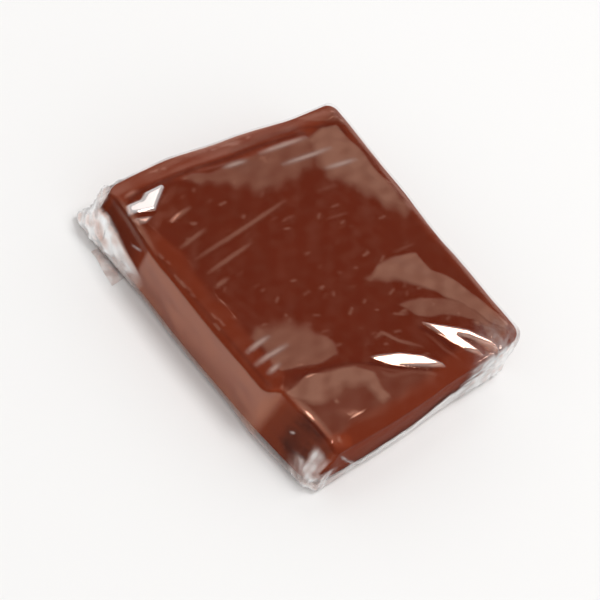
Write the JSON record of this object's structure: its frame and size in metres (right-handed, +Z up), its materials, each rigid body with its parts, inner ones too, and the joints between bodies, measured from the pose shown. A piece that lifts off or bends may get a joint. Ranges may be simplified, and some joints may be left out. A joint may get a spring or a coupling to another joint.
{
  "type": "wrapped caramel candy",
  "caption": "Flat rectangular slab of dark chocolate caramel, fold-wrapped in clear film and lying on its underside.",
  "frame": {"origin": "middle of the part's footprint, on the surface that it lies on", "axes": "+X along the two long sides, towards the drooping corner; +Y across them; +Z up, out of the shown face"},
  "size_m": [0.0402, 0.0346, 0.0075],
  "materials": {
    "caramel": "dark red-brown chocolate caramel, dense, slightly translucent at its rims, with a soft gloss",
    "film": "clear glossy wrapping film, creased, rippled and folded at both ends"
  },
  "bodies": {
    "root": {"caramel_slab": "caramel", "film_wrapper": "film"}
  },
  "joints": []
}
